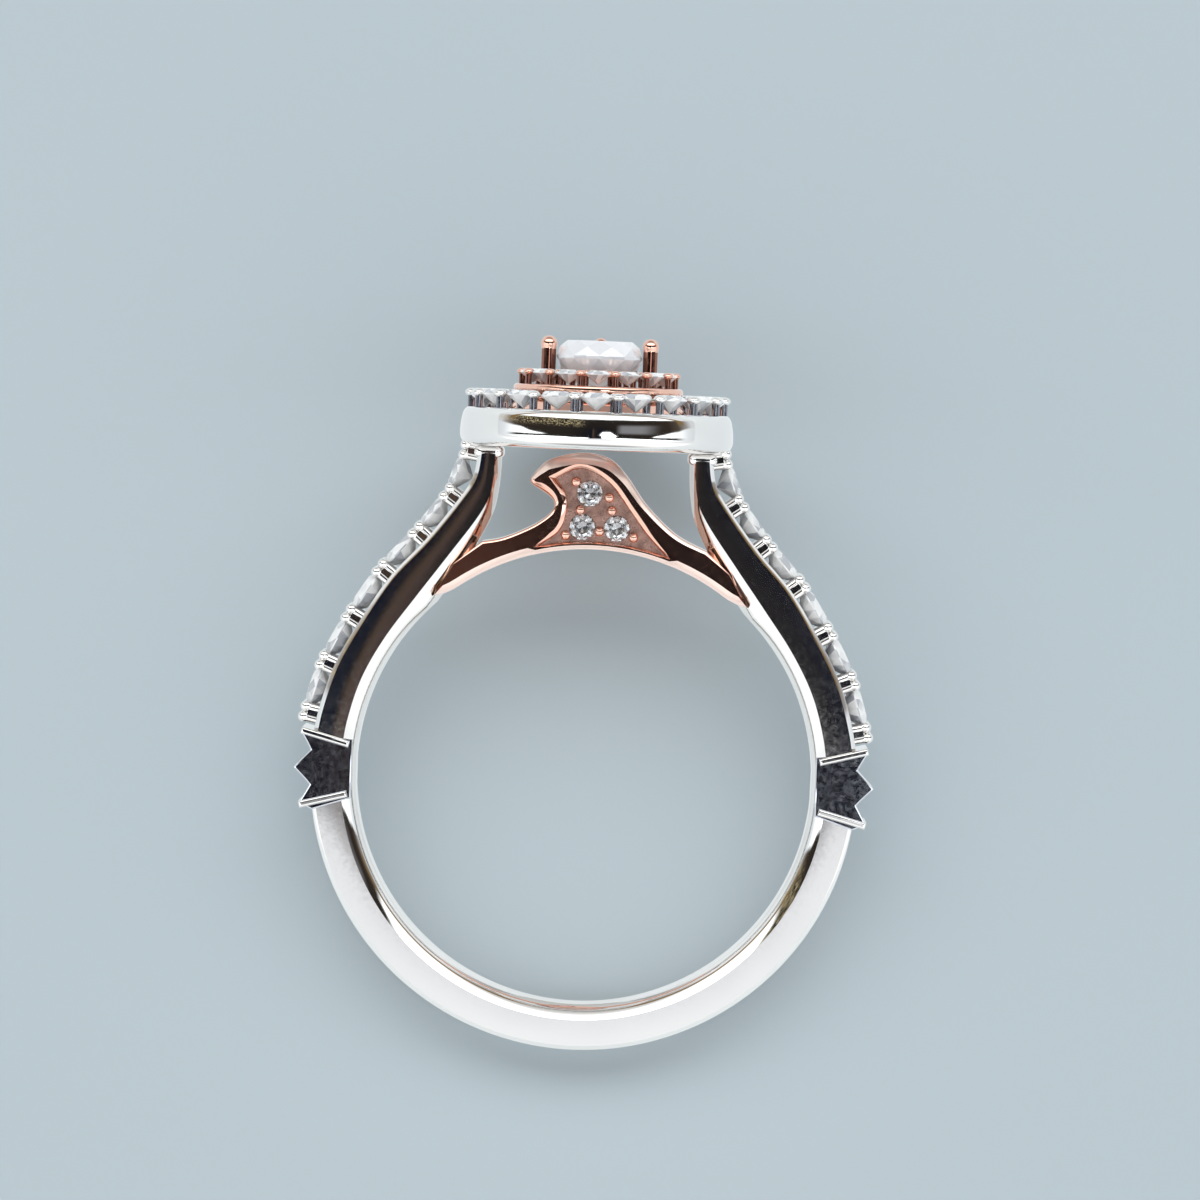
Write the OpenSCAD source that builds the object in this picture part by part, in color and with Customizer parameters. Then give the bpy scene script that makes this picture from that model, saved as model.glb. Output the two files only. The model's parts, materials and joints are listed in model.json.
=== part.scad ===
// Two-tone engagement ring, in millimetres, with a pear-shaped stone in a double halo.
// Every piece is drawn upright first: X to the right, Y away from the front, Z towards the head,
// with the finger hole's centre at zero. laid_down() then lays the ring on its side as it rests.

/* [Band] */
// Radius of the finger hole
bore_r = 8.65; // [8.2:0.05:9.2]
// Outer radius of the band
band_r = 10.35; // [10.2:0.05:10.5]
// Width of the band from front to back
band_w = 2.2; // [2:0.1:2.4]
// Width of the straight strip in the middle of the finger hole
bore_strip = 1.2; // [1:0.1:1.4]
// How far the inside rounds away at the band's side faces
inside_round = 0.55; // [0.4:0.05:0.6]
// Bevel along the band's outer edges
edge_bevel = 0.1; // [0.05:0.05:0.15]

/* [Collars] */
// Radius at the middle point of a collar
collar_tip_r = 10.98; // [10.8:0.02:11.1]
// Half the angle that a collar spans
collar_angle = 7.2; // [6.8:0.1:7.6]
// Width of a collar from front to back
collar_w = 2.34; // [2.3:0.02:2.4]
// Width of a collar's end ridges from front to back
ridge_w = 2.5; // [2.44:0.02:2.6]

/* [Shoulder stones] */
// Height of a shared prong above the shoulder
prong_h = 0.48; // [0.44:0.02:0.52]
// Radius of a shared prong
prong_r = 0.25; // [0.22:0.01:0.26]
// Distance of the prongs from the band's middle
prong_y = 0.74; // [0.72:0.01:0.8]
// Diameter of a shoulder stone as a share of the space between two prongs
stone_share = 0.87; // [0.82:0.01:0.88]
// Height of the shoulder stones' girdles above the shoulder
shoulder_girdle = 0.4; // [0.36:0.02:0.44]

/* [Centre stone] */
// Half the width of the pear-shaped stone
pear_half = 1.62; // [1.58:0.01:1.64]
// Length from the stone's widest line to its point
pear_tip = 3.24; // [3.2:0.01:3.3]
// Height of the stone's girdle above the finger hole's centre
pear_girdle_z = 15.9; // [15.85:0.05:15.95]
// Height of the stone's crown
pear_crown = 0.62; // [0.56:0.02:0.64]
// Depth of the stone below its girdle
pear_depth = 1.18; // [1.1:0.02:1.2]

/* [Inner halo] */
// Number of stones in the inner halo
inner_count = 16; // [16:2:16]
// Distance of the inner stones' middle line outside the centre stone's edge
inner_line = 0.9; // [0.88:0.01:0.92]
// Diameter of an inner halo stone
inner_stone = 0.98; // [0.94:0.02:0.98]
// Height of the inner tray's deck
inner_deck_z = 14.82; // [14.78:0.02:14.86]

/* [Outer halo] */
// Number of stones in the outer halo
outer_count = 20; // [20:2:20]
// Distance of the outer stones' middle line outside the centre stone's edge
outer_line = 2.68; // [2.66:0.01:2.7]
// Diameter of an outer halo stone
outer_stone = 1.26; // [1.2:0.02:1.26]
// Height of the outer tray's deck
outer_deck_z = 13.85; // [13.8:0.05:13.9]
// Height of the outer tray's underside
tray_z = 12.45; // [12.4:0.05:12.5]
// How far the outer tray bulges outside the centre stone's edge
tray_bulge = 3.55; // [3.5:0.01:3.6]

/* [Wave bridge] */
// Width of the bridge from front to back
bridge_w = 2.0; // [1.9:0.05:2.1]
// Depth of the stone field below the bridge's face
field_depth = 0.3; // [0.26:0.02:0.34]
// Diameter of a stone in the bridge
wave_stone_d = 0.98; // [0.9:0.02:0.98]

/* [Hidden] */

white_gold = "gainsboro";
rose_gold = "rosybrown";
diamond = "aliceblue";

$fn = 48;
gap = 0.02;      // clearance where two pieces meet
sink = 0.1;      // how far a post or prong reaches into what carries it

band_half = band_w / 2;
face_r = bore_r + inside_round;          // inner edge of the band's side faces
outline_inner_r = 8.3;                   // outlines start inside the hole, which is cut last

// One shoulder, from its collar up to the head. Columns: outer edge x and z, inner edge x and z of the
// side face, and how far the inner side rounds on past that face.
shoulder_rows = [
    [10.34,  0.60, 9.19,  0.53, 0.85],
    [10.16,  2.00, 9.02,  1.79, 0.85],
    [ 9.60,  3.87, 8.54,  3.43, 0.85],
    [ 8.69,  5.62, 7.72,  5.00, 0.85],
    [ 7.60,  7.34, 6.60,  6.60, 0.75],
    [ 6.30,  8.80, 5.48,  8.14, 0.70],
    [ 5.16, 10.31, 4.30,  9.81, 0.42],
    [ 4.62, 11.20, 3.88, 10.80, 0.26],
    [ 4.46, 12.15, 3.78, 12.15, 0.22]
];
prong_rows = [1, 2, 3, 4, 5, 6, 8];      // rows of the table that carry a pair of prongs
ridge_half = 0.45;                       // half width of the shoulder's innermost line
pad = [3.48, 4.62, 11.95];               // inner x, outer x and lowest z of the pad under the head

// The pear outline is a round end and two side arcs. Its offsets share the same centres.
side_r = (pear_tip * pear_tip + pear_half * pear_half) / (2 * pear_half);
side_c = side_r - pear_half;
side_angle = acos(side_c / side_r);
outer_front = pear_half + tray_bulge;
outer_back = pear_tip + tray_bulge;
head_y = (outer_front - outer_back) / 2; // centres the head over the band

tray_floor_z = 13.0;
tray_well = 1.84;                        // offset of the well that holds the inner halo
bulge_z = 13.2;
tray_rest = [tray_bulge - 0.03, 13.03];  // offset and height of the tray's line that the ring rests on

// The ring rests on the head's back point and on the band's back edge.
rest_back = head_y + pear_tip + tray_rest[0];
tilt = atan((rest_back - band_half) / (tray_rest[1] + band_r - edge_bevel));
lift = band_half * cos(tilt) + (band_r - edge_bevel) * sin(tilt);

// Rounded ends of the centre stone's prongs
claw_r = 0.28;
claw_tip_r = 0.31;
claw_z = 16.36;
pear_girdle = 0.1;                        // thickness of the centre stone's edge
tip_claw = [pear_tip + 0.27, 16.4, 0.27]; // y from the widest line, z and radius of the point's bead
far_end = (head_y + tip_claw[0]) * sin(tilt) + tip_claw[1] * cos(tilt) + tip_claw[2];
near_end = -(band_half - edge_bevel) * sin(tilt) - band_r * cos(tilt);

module laid_down() {
    translate([0, -(far_end + near_end) / 2, lift]) rotate([tilt - 90, 0, 0]) children();
}

module head_place() { translate([0, head_y, 0]) children(); }

// Extrudes an X-Z outline evenly to the front and back
module slab(width) { rotate([90, 0, 0]) linear_extrude(height = width, center = true) children(); }

function polar(r, angle) = [r * cos(angle), r * sin(angle)];
function unit(v) = v / norm(v);

// Point at share t of the curve through b and c, between its neighbours a and d
function spline_point(a, b, c, d, t) =
    (2 * b + (c - a) * t + (2 * a - 5 * b + 4 * c - d) * t * t + (3 * b - a - 3 * c + d) * t * t * t) / 2;

// Smooth curve through a list of points, with some steps between each two
function spline(p, steps) = let (n = len(p)) concat(
    [for (i = [0:n - 2], k = [0:steps - 1])
        spline_point(p[max(i - 1, 0)], p[i], p[i + 1], p[min(i + 2, n - 1)], k / steps)],
    [p[n - 1]]
);

// Closed body with the same number of points in each ring, and flat ends
module loft(rings) {
    m = len(rings[0]);
    last = (len(rings) - 1) * m;
    polyhedron(
        points = [for (ring = rings) each ring],
        faces = concat(
            [[for (j = [0:m - 1]) j]],
            [for (i = [0:len(rings) - 2], j = [0:m - 1])
                [i * m + j, (i + 1) * m + j, (i + 1) * m + (j + 1) % m, i * m + (j + 1) % m]],
            [[for (j = [m - 1:-1:0]) last + j]]
        )
    );
}

// Pear outline

function pear_point(d, angle) =
    angle <= 0 ? polar(pear_half + d, angle)
    : angle <= side_angle ? [-side_c, 0] + polar(side_r + d, angle)
    : [0, pear_tip] + polar(d, angle);

pear_angles = concat(
    [for (i = [0:8]) -90 + 10 * i],
    [for (i = [0:6]) side_angle * i / 7],
    [for (i = [0:3]) side_angle + (90 - side_angle) * i / 4]
);

function mirrored(p) = [-p[0], p[1]];

// Whole outline at an offset, once round from the front
function pear_loop(d) = let (right = [for (a = pear_angles) pear_point(d, a)]) concat(
    right, [[0, pear_tip + d]], [for (i = [len(right) - 1:-1:1]) mirrored(right[i])]
);

// Lengths of the outline's round end and side, from the front to the point, on one side
function front_length(d) = (pear_half + d) * PI / 2;
function side_length(d) = (side_r + d) * side_angle * PI / 180;
function half_length(d) = front_length(d) + side_length(d) + d * (90 - side_angle) * PI / 180;

// Direction outwards at a distance along one side of the outline
function pear_angle_at(d, s) =
    s < front_length(d) ? s / (pear_half + d) * 180 / PI - 90
    : s < front_length(d) + side_length(d) ? (s - front_length(d)) / (side_r + d) * 180 / PI
    : side_angle + (s - front_length(d) - side_length(d)) / d * 180 / PI;

// Places a child at a share of the whole outline, pushed outwards by some more
module on_pear(d, share, push = 0) {
    turn = share > 0.5 ? 1 - share : share;
    angle = pear_angle_at(d, turn * 2 * half_length(d));
    p = pear_point(d + push, angle);
    side = share > 0.5 ? -1 : 1;
    translate([side * p[0], p[1], 0]) rotate(side > 0 ? angle : 180 - angle) children();
}

// Pear outline with a sharp point, as true arcs
module pear_shape(d) {
    circle(r = pear_half + d);
    intersection() {
        translate([-side_c, 0]) circle(r = side_r + d);
        translate([side_c, 0]) circle(r = side_r + d);
        translate([-side_r, 0]) square([2 * side_r, 2 * side_r]);
    }
}

// Closed tray that follows the pear outline. Each row of the section is an offset and a height.
module pear_tray(section) {
    n = len(section);
    loops = [for (row = section) [for (p = pear_loop(row[0])) [p[0], p[1], row[1]]]];
    m = len(loops[0]);
    polyhedron(
        points = [for (one = loops) each one],
        faces = [for (i = [0:n - 1], j = [0:m - 1])
            [i * m + j, ((i + 1) % n) * m + j, ((i + 1) % n) * m + (j + 1) % m, i * m + (j + 1) % m]]
    );
}

// Cut stones

// A faceted stone on any even outline: table, star and main facets, girdle, and pavilion down to a point.
// The girdle lies at zero. Table, star and belly are shares of the outline, and star_at and belly_at are
// the shares of the crown and the depth where the last two lie. Without them the main facets are flat.
module cut_stone(outline, crown, girdle, depth, table = 0.58, star = 0.82, belly = 0.5, star_at, belly_at) {
    n = len(outline);
    m = n / 2;
    turn = 360 / n;
    edge = girdle / 2;
    flat_star_z = crown - (crown - edge) * (star * cos(turn) - table) / (1 - table);
    flat_belly_z = (depth - edge) * belly * cos(turn) - depth;
    star_z = is_undef(star_at) ? flat_star_z : star_at * crown;
    belly_z = is_undef(belly_at) ? flat_belly_z : -belly_at * depth;
    function ring(share, z, first, step) =
        [for (i = [first:step:n - 1]) [outline[i][0] * share, outline[i][1] * share, z]];
    stars = m;                     // index of the first star point, after the table's
    top = 2 * m;                   // first point of the girdle's upper edge
    low = top + n;                 // first point of its lower edge
    mid = low + n;                 // first point half way down the pavilion
    culet = mid + m;
    polyhedron(
        points = concat(
            ring(table, crown, 0, 2), ring(star, star_z, 1, 2),
            ring(1, edge, 0, 1), ring(1, -edge, 0, 1),
            ring(belly, belly_z, 1, 2), [[0, 0, -depth]]
        ),
        faces = concat(
            [[for (i = [m - 1:-1:0]) i]],
            [for (i = [0:m - 1]) [i, (i + 1) % m, stars + i]],
            [for (i = [0:m - 1]) [i, stars + i, top + 2 * i]],
            [for (i = [0:m - 1]) [i, top + 2 * i, stars + (i + m - 1) % m]],
            [for (i = [0:m - 1]) [stars + i, top + 2 * i + 1, top + 2 * i]],
            [for (i = [0:m - 1]) [stars + i, top + (2 * i + 2) % n, top + 2 * i + 1]],
            [for (i = [0:n - 1]) [top + i, top + (i + 1) % n, low + (i + 1) % n, low + i]],
            [for (i = [0:m - 1]) [low + 2 * i, low + 2 * i + 1, mid + i]],
            [for (i = [0:m - 1]) [low + 2 * i + 1, low + (2 * i + 2) % n, mid + i]],
            [for (i = [0:m - 1]) [low + 2 * i, mid + i, mid + (i + m - 1) % m]],
            [for (i = [0:m - 1]) [mid + i, culet, mid + (i + m - 1) % m]]
        )
    );
}

// Heights of a round stone's crown, girdle and pavilion as shares of its diameter
round_crown = 0.15;
round_girdle = 0.03;
round_depth = 0.4;

// Round stone of a diameter, with its girdle at zero
module round_stone(d) {
    corners = 16;
    outline = [for (i = [0:corners - 1]) polar(d / 2, i * 360 / corners)];
    cut_stone(outline, round_crown * d, round_girdle * d, round_depth * d);
}

// Band and shoulders

// Everything that the finger takes away: a straight strip that rounds off to both faces
module finger_hole() {
    past = 0.5;                      // how far the cut runs past the side faces
    half = bore_strip / 2;
    mid_y = half + (band_half - half) * 0.6;
    mid_r = bore_r + inside_round * 0.36;
    steep = (face_r - mid_r) / (band_half - mid_y);
    far = band_half + past;
    far_r = face_r + steep * past;
    rotate([90, 0, 0]) rotate_extrude($fn = 96) polygon([
        [0, -far], [far_r, -far], [mid_r, -mid_y], [bore_r, -half],
        [bore_r, half], [mid_r, mid_y], [far_r, far], [0, far]
    ]);
}

module lower_band() {
    rotate([90, 0, 0]) rotate_extrude(angle = 178, start = 181, $fn = 96) polygon([
        [outline_inner_r, -band_half], [band_r - edge_bevel, -band_half], [band_r, edge_bevel - band_half],
        [band_r, band_half - edge_bevel], [band_r - edge_bevel, band_half], [outline_inner_r, band_half]
    ]);
}

function outer_edge(i) = [shoulder_rows[i][0], shoulder_rows[i][1]];
function inner_edge(i) = [shoulder_rows[i][2], shoulder_rows[i][3]];
function inner_line_at(i) = inner_edge(i) + shoulder_rows[i][4] * unit(inner_edge(i) - outer_edge(i));

// The shoulder's section at a row: two flat side faces, and a rounded inner side
function shoulder_section(i) = let (o = outer_edge(i), e = inner_edge(i), c = inner_line_at(i)) [
    [o[0], -band_half, o[1]], [o[0], band_half, o[1]],
    [e[0], band_half, e[1]], [c[0], ridge_half, c[1]],
    [c[0], -ridge_half, c[1]], [e[0], -band_half, e[1]]
];

module shoulder() { loft([for (i = [0:len(shoulder_rows) - 1]) shoulder_section(i)]); }

module head_pad() {
    translate([pad[0], -band_half, pad[2]])
        cube([pad[1] - pad[0], band_w, tray_z - gap - pad[2]]);
}

// Concave curve from a notch of a collar's outline up to the tip beyond it
function scallop(notch, tip) = let (bend = (3 * notch + tip) / 4 - unit(tip) * 0.04)
    [for (k = [0:4]) let (t = k / 4) (1 - t) * (1 - t) * notch + 2 * t * (1 - t) * bend + t * t * tip];

module collar() {
    end_r = collar_tip_r - 0.15;
    notch_r = band_r + 0.02;
    slope_angle = 1.6;                  // the lower end slopes down to the band over this angle
    slab(collar_w) polygon(concat(
        [polar(outline_inner_r, -collar_angle), polar(band_r, -collar_angle - slope_angle)],
        [polar(end_r, -collar_angle)],
        scallop(polar(notch_r, -collar_angle / 2), polar(collar_tip_r, 0)),
        scallop(polar(notch_r, collar_angle / 2), polar(end_r, collar_angle)),
        [polar(outline_inner_r, collar_angle)]
    ));
    ridge = 0.28;                       // thickness of an end ridge along the band
    ridge_in_r = face_r - ridge;
    for (side = [-1, 1])
        rotate([0, -side * collar_angle * 0.93, 0]) translate([ridge_in_r, -ridge_w / 2, -ridge / 2])
            cube([end_r + 0.02 - ridge_in_r, ridge_w, ridge]);
}

// Outward direction of the shoulder at a row, from its neighbours
function outward(i) = let (t = unit(outer_edge(min(i + 1, len(shoulder_rows) - 1)) - outer_edge(i - 1)))
    [t[1], -t[0]];

// Stands a child on the X-Z point p, with its own up along n
module stand_on(p, n, y = 0) {
    translate([p[0], y, p[1]]) rotate([0, atan2(n[0], n[1]), 0]) children();
}

module bead_prong(r, h, bead) {
    translate([0, 0, -sink]) cylinder(r = r, h = h + sink);
    translate([0, 0, h]) sphere(r = bead);
}

module shoulder_prongs() {
    for (i = prong_rows, side = [-1, 1])
        stand_on(outer_edge(i), outward(i), side * prong_y) bead_prong(prong_r, prong_h, prong_r + 0.03);
}

// Foot and direction of shoulder stone k, between two pairs of prongs, and its diameter
function stone_from(k) = prong_rows[k - 1];
function stone_to(k) = prong_rows[k];
function stone_along(k) = unit(outer_edge(stone_to(k)) - outer_edge(stone_from(k)));
function stone_normal(k) = [stone_along(k)[1], -stone_along(k)[0]];
function stone_foot(k) = (outer_edge(stone_from(k)) + outer_edge(stone_to(k))) / 2;
function prong_middle(i) = outer_edge(i) + outward(i) * shoulder_girdle;
function shoulder_stone_d(k) = stone_share * norm(prong_middle(stone_to(k)) - prong_middle(stone_from(k)));

module at_shoulder_stone(k) {
    stand_on(stone_foot(k) + stone_normal(k) * shoulder_girdle, stone_normal(k)) children();
}

// Cone that a stone's pavilion sits in, from its girdle down, a little deeper and wider than the stone
module stone_seat(d) {
    depth = (round_depth + 0.05) * d;
    translate([0, 0, -depth]) cylinder(h = depth, r1 = 0, r2 = d / 2 + 3 * gap);
}

module half_shank() {
    difference() {
        union() {
            shoulder();
            head_pad();
            collar();
            shoulder_prongs();
        }
        for (k = [1:6]) at_shoulder_stone(k) stone_seat(shoulder_stone_d(k));
    }
}

module shank() color(white_gold) laid_down() {
    difference() {
        union() {
            lower_band();
            half_shank();
            mirror([1, 0, 0]) half_shank();
        }
        finger_hole();
    }
}

// Halos

module halo_stones(d, line, count, girdle_z) {
    head_place() for (i = [0:count - 1])
        on_pear(line, i / count) translate([0, 0, girdle_z]) round_stone(d);
}

module halo_post(line, share, post, foot_z, top_z) {
    on_pear(line, share, post[0]) translate([0, 0, foot_z])
        bead_prong(post[1], top_z - foot_z, post[1] + 0.02);
}

outer_girdle_z = outer_deck_z + round_depth * outer_stone + 2 * gap;
inner_girdle_z = inner_deck_z + round_depth * inner_stone + 2 * gap;

// Flat rail under the centre stone, inside the inner deck
rail_h = 0.25;
rail_w = 0.6;

// Posts between two stones of a halo. Columns: distance outside the stones' middle line, and radius.
outer_posts = [[0.46, 0.18], [-0.54, 0.17]];
inner_posts = [[0.37, 0.15], [-0.43, 0.13]];

module halo_frame() color(white_gold) laid_down() head_place() {
    b = tray_bulge;
    pear_tray([
        [0.6, tray_z], [b - 0.5, tray_z], [b - 0.2, tray_z + 0.3], tray_rest, [b, bulge_z],
        [b - 0.02, bulge_z + 0.3], [b - 0.11, outer_deck_z - 0.08], [b - 0.22, outer_deck_z],
        [tray_well, outer_deck_z], [tray_well, tray_floor_z], [0.6, tray_floor_z]
    ]);
    for (i = [0:outer_count - 1], post = outer_posts)
        halo_post(outer_line, (i + 0.5) / outer_count, post, outer_deck_z, outer_girdle_z);
}

module inner_halo() color(rose_gold) laid_down() head_place() {
    top = inner_deck_z;
    well = tray_well - gap;
    pear_tray([
        [1.1, tray_floor_z + gap], [well, tray_floor_z + gap], [well, outer_deck_z],
        [1.36, top - 0.38], [1.36, top - 0.24], [1.56, top - 0.2], [1.56, top - 0.05], [1.5, top],
        [0.1, top], [0.1, top - 0.3], [0.8, top - 0.7]
    ]);
    translate([0, 0, top - rail_h]) linear_extrude(height = rail_h) difference() {
        pear_shape(0.2);
        pear_shape(-rail_w);
    }
    half_count = inner_count / 2;
    claw_post = half_count / 2 - 1;      // the post beside the stone's widest place
    tip_post = half_count - 1;           // the post beside its point
    for (side = [0, 1], i = [0:half_count - 1]) {
        share = abs(side - (i + 0.5) / inner_count);
        halo_post(inner_line, share, inner_posts[0], top, inner_girdle_z);
        if (i != claw_post && i != tip_post)
            halo_post(inner_line, share, inner_posts[1], top, inner_girdle_z);
        if (i == claw_post)
            on_pear(inner_line, share, claw_r + gap - inner_line) translate([0, 0, top])
                bead_prong(claw_r, claw_z - top, claw_tip_r);
    }
    tip_prong();
}

// Prong round the stone's point: two walls that meet, with a bead on top
module tip_prong() {
    wall = 0.25;
    reach = 0.75;                        // how far from the point its walls run
    foot_z = inner_deck_z - sink;
    wall_top_z = pear_girdle_z + 0.2;
    translate([0, 0, foot_z]) linear_extrude(height = wall_top_z - foot_z) difference() {
        intersection() {
            pear_shape(gap + wall);
            translate([0, pear_tip]) circle(r = reach);
        }
        pear_shape(gap);
    }
    stem_r = 0.2;
    translate([0, pear_tip + stem_r + gap, pear_girdle_z])
        cylinder(r = stem_r, h = tip_claw[1] - pear_girdle_z);
    translate([0, tip_claw[0], tip_claw[1]]) sphere(r = tip_claw[2]);
}

module centre_stone() color(diamond) laid_down() head_place() translate([0, 0, pear_girdle_z])
    cut_stone(
        pear_stone_outline, pear_crown, pear_girdle, pear_depth,
        table = 0.78, star = 0.93, belly = 0.86, star_at = 0.62, belly_at = 0.5
    );

// The centre stone's edge, with a sharp point and an even number of corners
pear_stone_angles = concat(
    [for (i = [0:4]) -90 + 18 * i],
    [for (i = [0:6]) side_angle * i / 7]
);
pear_stone_outline = let (right = [for (a = pear_stone_angles) pear_point(0, a)]) concat(
    right, [[0, pear_tip]], [for (i = [len(right) - 1:-1:1]) mirrored(right[i])]
);

// Wave bridge

crest_curve = spline([
    [-2.36, 11.31], [-1.69, 12.02], [-0.55, 12.28], [0.50, 12.10],
    [1.22, 11.45], [2.01, 10.38], [3.15, 9.32], [4.36, 8.72]
], 4);
hollow_curve = spline([
    [-4.18, 8.80], [-3.38, 9.00], [-2.40, 9.45], [-1.72, 9.94],
    [-1.49, 10.35], [-1.90, 10.87], [-2.36, 11.31]
], 3);
field_right = spline([[-1.46, 11.28], [-0.52, 11.68], [0.54, 11.18], [1.39, 10.12], [2.56, 8.78]], 4);
field_left = spline([[-1.64, 8.80], [-1.03, 9.80], [-0.96, 10.55], [-1.46, 11.28]], 3);

// Columns: x and z of each stone, and of each bead between them
wave_stones = [[-0.17, 10.755], [-0.41, 9.475], [0.90, 9.465]];
wave_beads = [
    [-0.70, 11.17], [0.57, 10.62], [-0.50, 10.12], [0.69, 10.12], [0.25, 9.33], [-1.02, 9.15], [1.54, 9.15]
];
field_low_r = 8.95;

field_y = field_depth - bridge_w / 2;
bead_r = 0.13;

// The bridge's ends follow the shoulders' inner lines, with a small clearance
bridge_end = [for (i = [5, 4]) inner_line_at(i) - [2 * gap, 0]];

module bridge_outline() {
    polygon(concat(
        crest_curve, bridge_end, [for (i = [1, 0]) mirrored(bridge_end[i])],
        [for (i = [0:len(hollow_curve) - 2]) hollow_curve[i]]
    ));
}

module field_outline() {
    difference() {
        polygon(concat(
            field_right, [[2.5, 8.4], [-1.6, 8.4]], [for (i = [0:len(field_left) - 2]) field_left[i]]
        ));
        circle(r = field_low_r, $fn = 96);
    }
}

module at_wave_stone(k) {
    p = wave_stones[k - 1];
    translate([p[0], field_y - 0.06, p[1]]) rotate([90, 0, 0]) children();
}

module wave_bridge() color(rose_gold) laid_down() {
    difference() {
        slab(bridge_w) bridge_outline();
        finger_hole();
        translate([0, -bridge_w / 2, 0]) slab(2 * field_depth) field_outline();
        for (k = [1:3]) at_wave_stone(k) stone_seat(wave_stone_d);
    }
    for (p = wave_beads) translate([p[0], field_y - 0.04, p[1]]) sphere(r = bead_r);
}

module wave_stone(k) color(diamond) laid_down() at_wave_stone(k) round_stone(wave_stone_d);

module shoulder_stone(side, k) color(diamond) laid_down() {
    mirror([side < 0 ? 1 : 0, 0, 0]) at_shoulder_stone(k) round_stone(shoulder_stone_d(k));
}

module outer_halo_stones() color(diamond) laid_down()
    halo_stones(outer_stone, outer_line, outer_count, outer_girdle_z);

module inner_halo_stones() color(diamond) laid_down()
    halo_stones(inner_stone, inner_line, inner_count, inner_girdle_z);

shank();
halo_frame();
inner_halo();
wave_bridge();
centre_stone();
outer_halo_stones();
inner_halo_stones();
for (k = [1:6]) shoulder_stone(-1, k);
for (k = [1:6]) shoulder_stone(1, k);
for (k = [1:3]) wave_stone(k);
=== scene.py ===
import json
import math

import bmesh
import bpy
from mathutils import Matrix, Vector
from mathutils.geometry import tessellate_polygon


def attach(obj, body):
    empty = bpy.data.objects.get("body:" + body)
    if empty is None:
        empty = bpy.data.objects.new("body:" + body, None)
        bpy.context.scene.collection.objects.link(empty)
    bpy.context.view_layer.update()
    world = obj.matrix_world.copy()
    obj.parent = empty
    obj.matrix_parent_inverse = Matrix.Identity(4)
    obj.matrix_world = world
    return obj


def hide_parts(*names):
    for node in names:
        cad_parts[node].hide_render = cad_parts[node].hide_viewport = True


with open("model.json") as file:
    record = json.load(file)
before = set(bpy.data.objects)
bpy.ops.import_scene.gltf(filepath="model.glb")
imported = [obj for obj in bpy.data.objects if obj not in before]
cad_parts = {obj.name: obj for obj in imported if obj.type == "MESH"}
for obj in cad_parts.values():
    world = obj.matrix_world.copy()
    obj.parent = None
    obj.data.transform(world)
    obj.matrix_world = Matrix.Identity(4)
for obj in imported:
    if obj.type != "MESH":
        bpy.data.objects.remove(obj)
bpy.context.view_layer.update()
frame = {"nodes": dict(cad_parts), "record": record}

# The ring is described upright, in millimetres: X to the right, Y away from the front, Z towards the head,
# with the finger hole's centre at zero. LAY turns that into the frame's metres, where the ring lies on its
# side, by way of the frame's own mount in the finger hole.
MM = 0.001
HOLE = next(m for m in frame["record"]["mounts"] if m["name"] == "finger_hole")
FRONT = Vector(HOLE["axis"]).normalized()
RIGHT = Vector((1, 0, 0))
HEAD = FRONT.cross(RIGHT).normalized()
LAY = Matrix.Translation(Vector(HOLE["pos_m"])) @ Matrix((
    (MM, 0, 0, 0),
    (0, -FRONT.y * MM, HEAD.y * MM, 0),
    (0, -FRONT.z * MM, HEAD.z * MM, 0),
    (0, 0, 0, 1),
))

CREASE = 24  # degrees from which an edge is sharp
BAND_CREASE = 13
PRONG_CREASE = 40
TRAY_CREASE = 32  # also of the bridge
MERGE = 0.0005  # points closer than this become one
FINE_SIDES = 28  # of claws and seats

# Band
BORE_R = HOLE["dims"]["r_mm"]
STRIP_HALF = HOLE["dims"]["length_mm"] / 2
BAND_R = 10.35
BAND_HALF = 1.1
FACE_R = BORE_R + 0.55
BAND_ROUND = 0.85  # how far the inner side rounds on past the side face
LOW_TURN = math.radians(88)  # how far round the lower band goes from its bottom up to the shoulder
LOW_STEPS = 40
SHOULDER_STEPS = 6
EDGE = 0.16  # width of the outer edge's chamfer, which leans back by EDGE_LEAN
EDGE_LEAN = math.radians(40)
EDGE_R = 0.05
CROWN = 0.004  # how far the side faces fall from their middle line to their edges
INSIDE_BOX = 0.003  # keeps rounded edges within the box of the bevelled ones
BEND_DEEP = 0.58  # where the inner side bends most, as shares of its depth and of its fall
BEND_FALL = 0.72

# One shoulder, from its collar up to the head: x and z of the side face's outer edge and of its inner edge,
# and how far the inner side rounds on past it
SHOULDER_ROWS = [
    (10.34, 0.60, 9.19, 0.53, 0.85),
    (10.16, 2.00, 9.02, 1.79, 0.85),
    (9.60, 3.87, 8.54, 3.43, 0.85),
    (8.69, 5.62, 7.72, 5.00, 0.85),
    (7.60, 7.34, 6.60, 6.60, 0.75),
    (6.30, 8.80, 5.48, 8.14, 0.70),
    (5.16, 10.31, 4.30, 9.81, 0.42),
    (4.62, 11.20, 3.88, 10.80, 0.26),
    (4.46, 12.15, 3.78, 12.15, 0.22),
]
SHOULDER_STRIP_HALF = 0.45
PAD_X = (3.48, 4.62)
PAD_Z = (11.95, 12.43)
PAD_CORNER_R = 0.3
PAD_RIM_R = 0.2

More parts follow.
